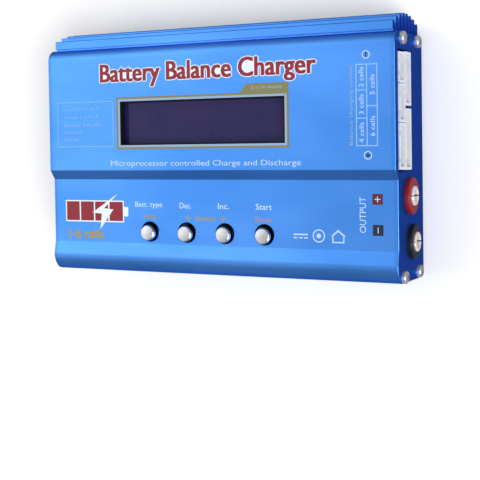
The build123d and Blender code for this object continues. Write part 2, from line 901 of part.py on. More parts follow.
def board_link():
    """The socket strip that joins the two main circuit boards."""
    return block(board_link_x, board_link_y, (main_top_z, control_board_z))


def balance_resistors():
    """The row of chip resistors that drain the cells."""
    low_ys = [resistor_first_y + resistor_pitch * i for i in range(resistor_count)]
    z = (main_top_z, main_top_z + resistor_height)
    return [block(resistor_x, (y, y + resistor_width), z) for y in low_ys]


def microcontroller():
    """The flat chip: its body and a row of leads on each side."""
    half = chip_size / 2
    base = control_top_z
    pieces = [block((chip_x - half, chip_x + half), (chip_y - half, chip_y + half),
                    (base + chip_stand, base + chip_top))]
    for i in range(chip_lead_count):
        y = chip_y + (i - (chip_lead_count - 1) / 2) * chip_lead_pitch
        span = (y - chip_lead_width / 2, y + chip_lead_width / 2)
        for ends in ((-half - chip_lead_reach, -half), (half, half + chip_lead_reach)):
            x = (chip_x + ends[0], chip_x + ends[1])
            pieces.append(block(x, span, (base, base + chip_lead_height)))
    return pieces


def crystal():
    """The metal can of the clock crystal on the control board."""
    can = extrude(SlotOverall(crystal_length, crystal_width), crystal_height)
    return Pos(*crystal_position, control_top_z) * can


def contrast_trimmer():
    """The small square trimmer that sets the display's contrast."""
    body = Box(trimmer_size, trimmer_size, trimmer_height, align=UP)
    body -= Pos(0, 0, trimmer_height) * Cylinder(trimmer_bore_radius, trimmer_bore_depth, align=DOWN)
    return Pos(*trimmer_position, control_top_z) * body


os.makedirs("parts", exist_ok=True)

save("top_shell", top_shell())
save("bottom_shell", bottom_shell())
save("left_end_plate", left_end_plate())
save("right_end_plate", right_end_plate())
save("plate_screws", *plate_screws(-1), *plate_screws(1))
save("rubber_feet", *rubber_feet())

glass_z = (bezel_top_z - bezel_sheet - glass_thickness, bezel_top_z - bezel_sheet)
save("display_gasket", display_gasket())
save("lcd_bezel", lcd_bezel())
save("lcd_glass", lcd_layer(glass_width, glass_depth, glass_z))
save("lcd_backlight", lcd_layer(glass_width, glass_depth, (display_board_top_z, glass_z[0])))
save("display_board", display_board())
save("display_pins", *display_pins())
save("display_spacers", *display_spacers())

for name, x in zip(button_names, button_xs):
    save(f"button_{name}_cap", button_cap(x))
    save(f"button_{name}_plunger", button_plunger(x))
save("push_switch_bodies", *push_switch_bodies())

save("control_board", control_board())
save("main_board", main_board())
save("lower_standoffs", *lower_standoffs())
save("upper_standoffs", *upper_standoffs())
save("bottom_screws", *bottom_screws())
save("board_screws", *board_screws(), *display_screws())
save("board_link", board_link())

for name, pins, low_y, low_z in balance_layout():
    save(f"balance_socket_{name}", balance_socket(pins, low_y, low_z))
save("socket_pins", *balance_pins(), *sensor_port_pins())
save("socket_board", socket_board())

for name, y, z, radius in output_sockets:
    save(f"{name}_output_collar", output_collar(y, z, radius))
    save(f"{name}_output_contact", output_contact(y, z))
    save(f"{name}_output_lead", output_lead(y, z))
save("output_nuts", *output_nuts())

save("input_jack", input_jack())
save("input_jack_pin", input_jack_pin())
save("sensor_port", sensor_port())

save("transistor_bodies", *transistor_bodies())
save("transistor_tabs", *transistor_tabs(), *transistor_leads())
save("transistor_screws", *transistor_screws())
save("insulating_pad", insulating_pad())
save("toroid_cores", *toroid_cores())
save("toroid_windings", *toroid_windings())
save("capacitor_cans", *capacitor_cans())
save("input_fuse", input_fuse())
save("fuse_clips", *fuse_clips())
save("buzzer", buzzer())
save("balance_resistors", *balance_resistors())
save("microcontroller", *microcontroller())
save("crystal", crystal())
save("contrast_trimmer", contrast_trimmer())
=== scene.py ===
"""Looks of the balance battery charger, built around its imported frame. Lengths are in metres."""

import json
from math import cos, pi, radians, sin

import bmesh
import bpy
from mathutils import Matrix, Vector
from mathutils.geometry import delaunay_2d_cdt


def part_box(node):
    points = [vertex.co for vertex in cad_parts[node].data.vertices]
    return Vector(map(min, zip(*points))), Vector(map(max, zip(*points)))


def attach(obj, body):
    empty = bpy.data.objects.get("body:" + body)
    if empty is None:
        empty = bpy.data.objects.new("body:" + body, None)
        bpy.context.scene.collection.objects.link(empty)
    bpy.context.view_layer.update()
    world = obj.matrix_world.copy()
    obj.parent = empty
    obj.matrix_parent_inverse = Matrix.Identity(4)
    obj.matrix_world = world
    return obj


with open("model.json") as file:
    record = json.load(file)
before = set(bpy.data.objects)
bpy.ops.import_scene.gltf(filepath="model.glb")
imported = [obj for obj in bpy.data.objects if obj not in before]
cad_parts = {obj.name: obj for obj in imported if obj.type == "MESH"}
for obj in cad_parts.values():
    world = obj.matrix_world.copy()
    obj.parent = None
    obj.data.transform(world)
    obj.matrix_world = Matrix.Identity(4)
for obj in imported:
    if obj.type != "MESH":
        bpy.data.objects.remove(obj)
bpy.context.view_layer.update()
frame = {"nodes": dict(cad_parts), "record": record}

MM = 0.001

# ---- colours, linear ----
PRINT_WHITE = (0.70, 0.78, 0.90)
PRINT_LABEL = (0.54, 0.70, 0.95)
PRINT_RED = (0.23, 0.004, 0.012)
PRINT_DARK_RED = (0.10, 0.004, 0.010)
PRINT_GOLD = (0.32, 0.25, 0.055)
PRINT_OLIVE = (0.18, 0.18, 0.065)
PRINT_PALE_BLUE = (0.24, 0.47, 0.95)
PRINT_SOFT_WHITE = (0.44, 0.60, 0.92)
PRINT_GREY = (0.25, 0.36, 0.54)
PRINT_FAINT = (0.20, 0.38, 0.66)
PRINT_INK = (0.004, 0.006, 0.02)

# ---- levels of the printed panel ----
deck_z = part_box("top_shell")[1].z
deck_step = 2.5 * MM
lower_deck_z = deck_z - deck_step
print_height = 0.045 * MM
print_step = 0.012 * MM
print_root = 0.02 * MM

# ---- light and camera ----
SUN_TOWARDS = (0.62, -0.30, 0.72)
SUN_POWER = 2.9
SUN_SPREAD = radians(50)
GLOW_TOWARDS = (-0.70, 0.25, 0.67)
GLOW_FOCUS = 7
GLOW_POWER = 1.75
ROOM_POWER = 0.32
FLOOR_HALF = 6.0
FLOOR_STEPS = 24
FLOOR_DARK, FLOOR_LIGHT = (0.92, 0.92, 0.92), (0.95, 0.95, 0.95)
# painted shade: the floor's darker colour as seen in reflections on the case
FLOOR_SHADE_IN_REFLECTIONS = (0.23, 0.24, 0.33)
CAMERA_PLACE = (0.161594, 0.0024, 0.343024)
CAMERA_TURN = (-1.980, 25.748, -0.938)  # in degrees
CAMERA_SENSOR, CAMERA_LENS = 36, 76.32  # in mm
CAMERA_SHIFT = -0.1458
CAMERA_NEAR = 0.01

# ---- flat shapes ----
FINEST = 0.00001  # in mm, for the merging of flat shapes
ROUND_STEPS = 32
LETTER_STEPS = 3

# ---- sockets of the colour mix node ----
MIX_FIRST, MIX_SECOND, MIX_RESULT = 6, 7, 2


# ---- materials ----
class Finish:
    """A Principled material, with the node patterns that the finishes share."""

    def __init__(self, name, **values):
        self.material = bpy.data.materials.new(name)
        self.material.use_nodes = True
        self.nodes = self.material.node_tree.nodes
        self.links = self.material.node_tree.links
        self.shader = self.nodes["Principled BSDF"]
        for socket, value in values.items():
            self.shader.inputs[socket.replace("_", " ")].default_value = value
        self.place = self.nodes.new("ShaderNodeTexCoord").outputs["Object"]

    def noise(self, size, stretch=(1, 1, 1), detail=4.0, roughness=0.55):
        """Noise whose features are about size metres across, stretched along the axes."""
        mapping = self.nodes.new("ShaderNodeMapping")
        mapping.inputs["Scale"].default_value = [1 / (size * s) for s in stretch]
        self.links.new(self.place, mapping.inputs["Vector"])
        texture = self.nodes.new("ShaderNodeTexNoise")
        texture.inputs["Scale"].default_value = 1.0
        texture.inputs["Detail"].default_value = detail
        texture.inputs["Roughness"].default_value = roughness
        self.links.new(mapping.outputs["Vector"], texture.inputs["Vector"])
        return texture.outputs["Fac"]

    def spots(self, size, feature="F1"):
        """Cells about size metres across."""
        texture = self.nodes.new("ShaderNodeTexVoronoi")
        texture.feature = feature
        texture.inputs["Scale"].default_value = 1 / size
        self.links.new(self.place, texture.inputs["Vector"])
        return texture.outputs["Distance"]

    def ramp(self, value, low, high, to_low=0.0, to_high=1.0):
        """Value mapped from low..high to to_low..to_high, and held there."""
        node = self.nodes.new("ShaderNodeMapRange")
        self.links.new(value, node.inputs["Value"])
        node.inputs["From Min"].default_value = low
        node.inputs["From Max"].default_value = high
        node.inputs["To Min"].default_value = to_low
        node.inputs["To Max"].default_value = to_high
        return node.outputs["Result"]

    def mix(self, share, first, second):
        """Colour between first and second. Each is a colour or a socket."""
        node = self.nodes.new("ShaderNodeMix")
        node.data_type = "RGBA"
        self.links.new(share, node.inputs["Factor"])
        for index, colour in ((MIX_FIRST, first), (MIX_SECOND, second)):
            if isinstance(colour, tuple):
                node.inputs[index].default_value = (*colour, 1)
            else:
                self.links.new(colour, node.inputs[index])
        return node.outputs[MIX_RESULT]

    def facing(self, axis):
        """How squarely the surface faces along an axis of the object, from 0 to 1."""
        normal = self.nodes.new("ShaderNodeTexCoord").outputs["Normal"]
        split = self.nodes.new("ShaderNodeSeparateXYZ")
        self.links.new(normal, split.inputs["Vector"])
        size = self.nodes.new("ShaderNodeMath")
        size.operation = "ABSOLUTE"
        self.links.new(split.outputs[axis], size.inputs[0])
        return size.outputs["Value"]

    def colour(self, socket):
        """The base colour follows a socket."""
        self.links.new(socket, self.shader.inputs["Base Color"])

    def rough(self, socket):
        """The roughness follows a socket."""
        self.links.new(socket, self.shader.inputs["Roughness"])

    def bump(self, height, distance):
        """Relief of the given depth in metres, added over any earlier relief."""
        node = self.nodes.new("ShaderNodeBump")
        node.inputs["Distance"].default_value = distance
        node.inputs["Strength"].default_value = 1.0
        self.links.new(height, node.inputs["Height"])
        normal = self.shader.inputs["Normal"]
        if normal.is_linked:
            self.links.new(normal.links[0].from_socket, node.inputs["Normal"])
        self.links.new(node.outputs["Normal"], normal)


def anodised(name, colour, pale, shaded_end, gloss):
    """Anodised aluminium extrusion: draw lines along X, fine etched grain, and painted shade: the
    ends, which face along X, are painted darker.
    """
    finish = Finish(name, Metallic=0.96, Specular_Tint=(0.30, 0.45, 1.0, 1.0))
    lines = finish.noise(0.35 * MM, stretch=(160, 1, 1), detail=3)
    clouds = finish.noise(22 * MM, stretch=(2.5, 1, 1), detail=2)
    grain = finish.noise(0.12 * MM, detail=2)
    skin = finish.mix(finish.ramp(clouds, 0.35, 0.65), colour, pale)
    skin = finish.mix(finish.ramp(lines, 0.3, 0.75, 0.0, 0.16), skin, pale)
    # painted shade: surfaces facing along X, the sawn ends and the end plate's face, take a darker
    # colour that stands in for the shade they sit in
    end_shade = finish.ramp(finish.facing("X"), 0.75, 0.95)
    finish.colour(finish.mix(end_shade, skin, shaded_end))
    finish.rough(finish.ramp(lines, 0.25, 0.8, gloss - 0.05, gloss + 0.09))
    finish.bump(grain, 0.004 * MM)
    finish.bump(lines, 0.006 * MM)
    return finish.material


def plated(name, colour, tint, gloss, metal=1.0):
    """Bright plated or turned metal with hairline scratches and faint tarnish."""
    finish = Finish(name, Metallic=metal)
    tarnish = finish.noise(2.5 * MM, detail=5)
    hairs = finish.noise(0.4 * MM, stretch=(9, 1, 1), detail=3)
    finish.colour(finish.mix(finish.ramp(tarnish, 0.35, 0.75), colour, tint))
    finish.rough(finish.ramp(hairs, 0.3, 0.75, gloss - 0.06, gloss + 0.12))
    finish.bump(hairs, 0.003 * MM)
    return finish.material


def moulded(name, colour, pale, gloss, coat=0.0, texture=0.25 * MM, depth=0.01 * MM, shine=0.5):
    """Moulded plastic or rubber: spark-eroded texture, dust in its tone and uneven gloss."""
    finish = Finish(name, Coat_Weight=coat, Coat_Roughness=0.15, IOR=1.48, Specular_IOR_Level=shine)
    clouds = finish.noise(6 * MM, detail=4)
    erosion = finish.noise(texture, detail=5, roughness=0.65)
    finish.colour(finish.mix(finish.ramp(clouds, 0.35, 0.75), colour, pale))
    finish.rough(finish.ramp(erosion, 0.3, 0.7, gloss - 0.06, gloss + 0.1))
    finish.bump(erosion, depth)
    return finish.material


def circuit_board(name):
    """Green solder mask over copper tracks, with tinned dots."""
    finish = Finish(name, Coat_Weight=0.5, Coat_Roughness=0.12, IOR=1.5)
    tracks = finish.spots(3.2 * MM, "DISTANCE_TO_EDGE")
    dots = finish.spots(2.1 * MM)
    weave = finish.noise(0.5 * MM, detail=3)
    mask = finish.mix(finish.ramp(tracks, 0.04, 0.07), (0.04, 0.30, 0.10), (0.012, 0.12, 0.045))
    finish.colour(finish.mix(finish.ramp(dots, 0.10, 0.13), (0.55, 0.56, 0.52), mask))
    finish.rough(finish.ramp(weave, 0.3, 0.7, 0.25, 0.42))
    finish.bump(tracks, 0.03 * MM)
    return finish.material


def display_glass(name):
    """Dark unlit character display: faint cells of two lines of sixteen under smooth glass."""
    low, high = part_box("display_gasket")
    columns, rows = 16, 2
    middle = (low + high) / 2
    field = Vector((56.2 * MM, 11.5 * MM, 1))
    finish = Finish(name, Specular_IOR_Level=0.22, IOR=1.45)
    mapping = finish.nodes.new("ShaderNodeMapping")
    start = Vector((middle.x - field.x / 2, middle.y - field.y / 2, 0))
    size = (columns / field.x, rows / field.y, 1)
    mapping.inputs["Scale"].default_value = size
    mapping.inputs["Location"].default_value = (-start.x * size[0], -start.y * size[1], 0)
    finish.links.new(finish.place, mapping.inputs["Vector"])
    cells = finish.nodes.new("ShaderNodeTexBrick")
    cells.offset = 0
    gaps = {"Mortar Size": 0.09, "Mortar Smooth": 0.3}
    grid = {"Scale": 1, "Brick Width": 1, "Row Height": 1}
    for socket, value in (gaps | grid).items():
        cells.inputs[socket].default_value = value
    finish.links.new(mapping.outputs["Vector"], cells.inputs["Vector"])
    haze = finish.noise(14 * MM, detail=3)
    share = finish.ramp(haze, 0.3, 0.7)
    glass = finish.mix(share, (0.012, 0.010, 0.070), (0.020, 0.012, 0.066))
    cell = finish.mix(share, (0.013, 0.0115, 0.076), (0.0215, 0.0135, 0.071))
    finish.colour(finish.mix(cells.outputs["Fac"], cell, glass))
    finish.rough(finish.ramp(haze, 0.3, 0.7, 0.07, 0.14))
    return finish.material


def printed_ink(name, colour):
    """Screen-printed ink: slightly uneven and semi-gloss, with a little blue showing through."""
    finish = Finish(name, IOR=1.48)
    body = finish.noise(0.5 * MM, detail=3)
    under, share = (0.15, 0.42, 0.95), 0.1
    thin = tuple((1 - share) * c + share * b for c, b in zip(colour, under))
    finish.colour(finish.mix(finish.ramp(body, 0.5, 0.85, 0.0, 0.6), colour, thin))
    finish.rough(finish.ramp(body, 0.3, 0.7, 0.34, 0.5))
    finish.bump(body, 0.004 * MM)
    return finish.material


def copper_winding(name):
    """Enamelled copper wire, turn beside turn."""
    finish = Finish(name, Metallic=0.9, Coat_Weight=0.6, Coat_Roughness=0.1)
    turns = finish.noise(0.6 * MM, stretch=(1, 1, 8), detail=2)
    share = finish.ramp(turns, 0.35, 0.65)
    finish.colour(finish.mix(share, (0.33, 0.09, 0.03), (0.62, 0.22, 0.08)))
    finish.rough(finish.ramp(turns, 0.3, 0.7, 0.22, 0.4))
    finish.bump(turns, 0.05 * MM)
    return finish.material


def clear_glass(name):
    """Clear glass tube with a little haze."""
    finish = Finish(name, Transmission_Weight=0.85, IOR=1.47)
    haze = finish.noise(3 * MM, detail=3)
    finish.colour(finish.mix(finish.ramp(haze, 0.3, 0.7), (0.86, 0.9, 0.88), (0.95, 0.97, 0.96)))
    finish.rough(finish.ramp(haze, 0.3, 0.7, 0.03, 0.12))
    return finish.material


BLACK, SOFT_BLACK = (0.010, 0.010, 0.012), (0.022, 0.022, 0.025)
finishes = {
    # the third colour is painted shade for the ends that face along X
    "blue_case": anodised(
        "blue_anodised_case", (0.070, 0.280, 0.82), (0.100, 0.340, 0.95), (0.030, 0.070, 0.42), 0.33
    ),
    # painted shade: the end plate has the case's blue anodising, given darker colours here to stand
    # in for the shade on that end
    "blue_plate": anodised(
        "shaded_blue_anodised_plate", (0.060, 0.250, 0.76), (0.080, 0.300, 0.86), (0.060, 0.15, 0.54), 0.38
    ),
    "bright_screws": plated(
        "nickel_screws", (0.72, 0.70, 0.70), (0.46, 0.43, 0.43), 0.17, metal=0.75
    ),
    "black_rubber": moulded(
        "rubber_feet", BLACK, SOFT_BLACK, 0.72, texture=0.4 * MM, depth=0.03 * MM
    ),
    "black_gasket": moulded(
        "gasket_rubber", (0.003, 0.004, 0.007), (0.006, 0.007, 0.011), 0.6, shine=0.12
    ),
    "black_bezel": moulded("bezel_paint", BLACK, (0.018, 0.018, 0.020), 0.36),
    "display_glass": display_glass("unlit_display"),
    "light_diffuser": moulded("frosted_diffuser", (0.72, 0.75, 0.68), (0.82, 0.84, 0.80), 0.4),
    "green_board": circuit_board("circuit_board"),
    "gold_pins": plated("gold_pins", (0.80, 0.58, 0.22), (0.66, 0.44, 0.16), 0.22),
    "brass_standoffs": plated("turned_brass", (0.70, 0.50, 0.20), (0.52, 0.35, 0.14), 0.3),
    "black_plastic": moulded("black_plastic", (0.012, 0.012, 0.014), (0.022, 0.022, 0.026), 0.34),
    "red_collar": moulded(
        "red_collar", (0.22, 0.006, 0.008), (0.28, 0.010, 0.012), 0.30, shine=0.35
    ),
    "black_collar": moulded(
        "black_collar", (0.006, 0.006, 0.007), (0.012, 0.012, 0.013), 0.32, shine=0.3
    ),
    "nickel_contact": plated(
        "nickel_contact", (0.92, 0.89, 0.85), (0.78, 0.73, 0.68), 0.20, metal=0.45
    ),
    "red_lead": moulded("red_lead", (0.42, 0.010, 0.010), (0.52, 0.02, 0.02), 0.5),
    "black_lead": moulded("black_lead", BLACK, SOFT_BLACK, 0.5),
    "white_nylon": moulded(
        "white_nylon", (0.60, 0.63, 0.69), (0.70, 0.72, 0.76), 0.42, depth=0.006 * MM
    ),
    "tinned_tabs": plated("tinned_tabs", (0.62, 0.62, 0.63), (0.45, 0.45, 0.46), 0.34),
    "grey_pad": moulded("silicone_pad", (0.20, 0.21, 0.22), (0.26, 0.27, 0.28), 0.65),
    "core_ferrite": moulded("core_coating", (0.55, 0.42, 0.05), (0.62, 0.50, 0.10), 0.45),
    "copper_wire": copper_winding("copper_winding"),
    "can_sleeve": moulded(
        "can_sleeve", (0.010, 0.014, 0.05), (0.016, 0.022, 0.07), 0.28, coat=0.3
    ),
    "fuse_glass": clear_glass("fuse_glass"),
    "chip_black": moulded("chip_epoxy", (0.014, 0.014, 0.015), (0.026, 0.026, 0.027), 0.5),
    "silver_caps": plated("chromed_caps", (0.66, 0.66, 0.68), (0.50, 0.50, 0.53), 0.13),
    "trimmer_blue": moulded("trimmer_blue", (0.02, 0.09, 0.45), (0.03, 0.12, 0.52), 0.35),
}
inks = {
    "white": printed_ink("white_ink", PRINT_WHITE),
    "label": printed_ink("label_ink", PRINT_LABEL),
    "soft_white": printed_ink("soft_white_ink", PRINT_SOFT_WHITE),
    "red": printed_ink("red_ink", PRINT_RED),
    "dark_red": printed_ink("dark_red_ink", PRINT_DARK_RED),
    "gold": printed_ink("gold_ink", PRINT_GOLD),
    "olive": printed_ink("olive_ink", PRINT_OLIVE),
    "pale_blue": printed_ink("pale_blue_ink", PRINT_PALE_BLUE),
    "grey": printed_ink("grey_ink", PRINT_GREY),
    "faint": printed_ink("faint_ink", PRINT_FAINT),
    "black": printed_ink("black_ink", PRINT_INK),
}

for part in frame["record"]["subparts"]:
    node = frame["nodes"][part["node"]]
    node.data.materials.clear()
    node.data.materials.append(finishes[part["material_slot"]])


# ---- print on the panel ----
def add_piece(name, mesh, material, body="charger"):
    """A finished mesh, placed in the frame's own coordinates, that rides on a body."""
    piece = bpy.data.objects.new(name, mesh)
    bpy.context.scene.collection.objects.link(piece)
    mesh.materials.clear()
    mesh.materials.append(material)
    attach(piece, body)
    return piece


def glyph_triangles(words):
    """The filled shapes of a line of words in a plain face, as flat triangles."""
    source = bpy.data.curves.new("words", "FONT")
    source.body = words
    source.resolution_u = LETTER_STEPS
    carrier = bpy.data.objects.new("words", source)
    bpy.context.scene.collection.objects.link(carrier)
    drawn = carrier.evaluated_get(bpy.context.evaluated_depsgraph_get())
    mesh = bpy.data.meshes.new_from_object(drawn)
    bpy.data.objects.remove(carrier)
    mesh.calc_loop_triangles()
    points = [Vector(v.co[:2]) for v in mesh.vertices]
    triangles = [[points[i] for i in t.vertices] for t in mesh.loop_triangles]
    bpy.data.meshes.remove(mesh)
    return triangles


def turning(shape):
    """Twice the area of a flat shape, positive where its corners run anticlockwise."""
    return sum(a.cross(b) for a, b in zip(shape, shape[1:] + shape[:1]))


def rim_of(faces):
    """The directed edges of anticlockwise faces that no neighbour shares."""
    edges = {edge for face in faces for edge in zip(face, face[1:] + face[:1])}
    return {(a, b) for a, b in edges if (b, a) not in edges}


def merged(shapes):
    """Corners and triangles of the union of flat anticlockwise shapes, with no corner inside it.

    The first pass finds the union's rim. The second fills between the rim's corners, and then the
    triangles that the rim encloses are gathered from each rim edge inwards.
    """
    corners = [corner for shape in shapes for corner in shape]
    sides = [[] for _ in shapes]
    count = 0
    for side, shape in zip(sides, shapes):
        side.extend(range(count, count + len(shape)))
        count += len(shape)
    places, _, faces, _, _, covers = delaunay_2d_cdt(corners, [], sides, 1, FINEST)
    rim = rim_of([face for face, cover in zip(faces, covers) if cover])
    kept = sorted({i for edge in rim for i in edge})
    number = {old: new for new, old in enumerate(kept)}
    rim = {(number[a], number[b]) for a, b in rim}
    places = [places[i] for i in kept]
    places, _, faces, origins, _, _ = delaunay_2d_cdt(places, sorted(rim), [], 0, FINEST)
    source = [origin[0] for origin in origins]
    owner = {}
    for index, face in enumerate(faces):
        for a, b in zip(face, face[1:] + face[:1]):
            owner[(source[a], source[b])] = index
    inside = {owner[edge] for edge in rim if edge in owner}
    queue = list(inside)
    while queue:
        face = [source[i] for i in faces[queue.pop()]]
        for a, b in zip(face, face[1:] + face[:1]):
            beyond = owner.get((b, a))
            if (a, b) not in rim and beyond is not None and beyond not in inside:
                inside.add(beyond)
                queue.append(beyond)
    return places, [faces[i] for i in sorted(inside)]


def inked(name, shapes, level, ink, layer=0, home=(0, 0)):
    """One piece of ink, a thin raised layer over the union of flat shapes in mm round a home."""
    shapes = [shape if turning(shape) > 0 else shape[::-1] for shape in shapes]
    shapes = [shape for shape in shapes if turning(shape) > FINEST]
    places, faces = merged(shapes)
    origin = Vector(home)
    bottom = level - print_root
    build = bmesh.new()
    points = [build.verts.new((*(origin + place) * MM, bottom)) for place in places]
    for face in faces:
        build.faces.new([points[i] for i in face])
    bmesh.ops.delete(build, geom=[v for v in points if not v.link_faces], context="VERTS")
    bmesh.ops.recalc_face_normals(build, faces=build.faces)
    ground = list(build.faces)
    raised = bmesh.ops.extrude_face_region(build, geom=ground, use_keep_orig=True)["geom"]
    rise = print_root + print_height + layer * print_step
    roof = [g for g in raised if isinstance(g, bmesh.types.BMVert)]
    bmesh.ops.translate(build, verts=roof, vec=(0, 0, rise))
    bmesh.ops.recalc_face_normals(build, faces=build.faces)
    mesh = bpy.data.meshes.new(name)
    build.to_mesh(mesh)
    build.free()
    return add_piece(name, mesh, inks[ink])


def letter(name, words, centre, width, height, level, ink, swell=None, turned=False, layer=0):
    """Words that fill a width and height about a centre, in millimetres.

    Swell is how far the strokes grow sideways and upwards, and in how many directions. Turned
    words read upwards.
    """
    triangles = glyph_triangles(words)
    points = [point for triangle in triangles for point in triangle]
    low = Vector([min(p[i] for p in points) for i in (0, 1)])
    high = Vector([max(p[i] for p in points) for i in (0, 1)])
    size = Vector((width / (high.x - low.x), height / (high.y - low.y)))
    middle = (low + high) / 2
    spin = Matrix.Rotation(pi / 2 if turned else 0, 2)
    shifts = [Vector((0, 0))]
    if swell:
        wide, tall, directions = swell
        turns = [2 * pi * (i + 0.5) / directions for i in range(directions)]
        shifts = [Vector((wide * cos(a), tall * sin(a))) for a in turns]
    shapes = []
    for shift in shifts:
        for triangle in triangles:
            shapes.append([spin @ ((p - middle) * size + shift) for p in triangle])
    return inked(name, shapes, level, ink, layer, centre)


def printed_shapes(name, outlines, level, ink, layer=0):
    """One piece of ink from closed outlines in millimetres."""
    shapes = [[Vector(corner) for corner in outline] for outline in outlines]
    return inked(name, shapes, level, ink, layer)


def bar(x0, y0, x1, y1):
    """A rectangle from its low corner to its high corner."""
    return [(x0, y0), (x1, y0), (x1, y1), (x0, y1)]


def frame_bars(x0, y0, x1, y1, width):
    """Four bars round a rectangle, inside its edge and clear of each other."""
    return [
        bar(x0, y0, x1, y0 + width),
        bar(x0, y1 - width, x1, y1),
        bar(x0, y0 + width, x0 + width, y1 - width),
        bar(x1 - width, y0 + width, x1, y1 - width),
    ]


def disc(x, y, radius):
    """A round outline."""
    turns = [2 * pi * i / ROUND_STEPS for i in range(ROUND_STEPS)]
    return [(x + radius * cos(a), y + radius * sin(a)) for a in turns]


def ring_sectors(x, y, outer, inner):
    """A flat ring as a row of sectors."""
    rims = list(zip(disc(x, y, outer), disc(x, y, inner)))
    pairs = zip(rims, rims[1:] + rims[:1])
    return [[far, next_far, next_near, near] for (far, near), (next_far, next_near) in pairs]


def sign_bars(x, y, arm, width, plus):
    """A minus or a plus sign whose bar runs along Y."""
    bars = [bar(x - width / 2, y - arm, x + width / 2, y + arm)]
    if plus:
        bars.append(bar(x - arm, y - width / 2, x - width / 2, y + width / 2))
        bars.append(bar(x + width / 2, y - width / 2, x + arm, y + width / 2))
    return bars


# Places and sizes of the print are in millimetres, and the two panel levels are in metres.
# Title over the display: red with a white outline, and a subtitle under the display.
title = dict(
    words="Battery Balance Charger", centre=(-1.9, 26.8), width=83.2, height=8.4, level=deck_z
)
wide, tall, border = 0.40, 0.18, 0.27
letter("title_outline", **title, ink="white", swell=(wide + border, tall + border, 8))
letter("title", **title, ink="red", swell=(wide, tall, 4), layer=1)
subtitle = "Microprocessor controlled Charge and Discharge"
letter("subtitle", subtitle, (-2.75, -4.85), 73.9, 2.5, deck_z, "soft_white")

# Pale line and gold line round the window, with a gold tab at the top right.
gasket_low, gasket_high = (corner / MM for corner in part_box("display_gasket"))
pale_width, gold_width, hidden_flange = 0.75, 0.75, 2.9
ring_low = tuple(v + hidden_flange - pale_width for v in gasket_low.xy)
ring_high = tuple(v - hidden_flange + pale_width for v in gasket_high.xy)
printed_shapes("display_pale_line", frame_bars(*ring_low, *ring_high, pale_width), deck_z, "grey")
gold_low = tuple(v - gold_width for v in ring_low)
gold_high = tuple(v + gold_width for v in ring_high)
printed_shapes("display_gold_line", frame_bars(*gold_low, *gold_high, gold_width), deck_z, "olive")
tab_left, tab_rise, tab_slant = 12.2, 3.0, 2.4
tab_top = gold_high[1] + tab_rise
tab = [
    (tab_left, gold_high[1]),
    gold_high,
    (gold_high[0], tab_top),
    (tab_left + tab_slant, tab_top),
]
printed_shapes("display_gold_tab", [tab], deck_z, "olive")
tab_words_place = (22.2, gold_high[1] + tab_rise / 2)
letter("display_tab_words", "2 x 16 display", tab_words_place, 11.5, 1.3, deck_z, "grey", layer=1)

# Faint table of settings at the left.
table_box, table_line = (-62.6, 1.4, -38.4, 17.9), 0.3
printed_shapes("settings_table_line", frame_bars(*table_box, table_line), deck_z, "faint")
settings = ["Input DC 11-18 V", "Charge 0.1-5.0 A", "Balance 2-6 cells", "Discharge", "Storage"]
row_left, row_top, row_pitch, row_height, letter_pitch = -59.8, 15.0, 2.75, 1.35, 0.95
for row, words in enumerate(settings):
    width = letter_pitch * len(words)
    place = (row_left + width / 2, row_top - row_pitch * row)
    letter(f"settings_table_row_{row + 1}", words, place, width, row_height, deck_z, "faint")

# Table of the balance sockets at the right, read from the end of the case.
table_low, table_high = (53.4, 0.5), (60.7, 26.8)
column = 57.1
left_rows, right_row = (9.3, 18.3), 13.2
line = 0.32
bars = frame_bars(*table_low, *table_high, line)
bars.append(bar(column - line / 2, table_low[1] + line, column + line / 2, table_high[1] - line))
bars += [bar(table_low[0] + line, y, column - line / 2, y + line) for y in left_rows]
bars.append(bar(column + line / 2, right_row, table_high[0] - line, right_row + line))
printed_shapes("cell_table_lines", bars, deck_z, "pale_blue")
left_x, right_x = 55.25, 58.95
cell_places = [
    (4, (left_x, 4.9)),
    (3, (left_x, 13.9)),
    (2, (left_x, 22.6)),
    (6, (right_x, 6.9)),
    (5, (right_x, 20.1)),
]
upright = dict(level=deck_z, turned=True)
for cells, place in cell_places:
    letter(f"cell_table_{cells}s", f"{cells} cells", place, 6.4, 1.6, ink="soft_white", **upright)
caption = "Balance charging socket"
letter("cell_table_caption", caption, (51.9, 13.7), 25.6, 1.5, ink="grey", **upright)
ring_outer, ring_inner, sign_arm, sign_width = 1.35, 1.05, 0.8, 0.42
for name, x, y, plus in (("minus", 56.9, 29.7, False), ("plus", 57.3, -2.4, True)):
    ring = ring_sectors(x, y, ring_outer, ring_inner)
    printed_shapes(f"socket_{name}_ring", ring, deck_z, "soft_white")
    sign = sign_bars(x, y, sign_arm, sign_width, plus)
    printed_shapes(f"socket_{name}_sign", sign, deck_z, "black")

# Output signs and caption at the right of the lower deck.
half, sign_arm, sign_width = 1.75, 0.95, 0.28
for name, x, y, ink, plus in (
    ("positive", 59.5, -16.6, "dark_red", True),
    ("negative", 59.6, -26.6, "black", False),
):
    square = bar(x - half, y - half, x + half, y + half)
    printed_shapes(f"output_{name}_square", [square], lower_deck_z, ink)
    sign = sign_bars(x, y, sign_arm, sign_width, plus)
    printed_shapes(f"output_{name}_sign", sign, lower_deck_z, "soft_white", layer=1)
upright["level"] = lower_deck_z
letter("output_caption", "OUTPUT", (54.5, -21.7), 11.6, 2.2, ink="soft_white", **upright)

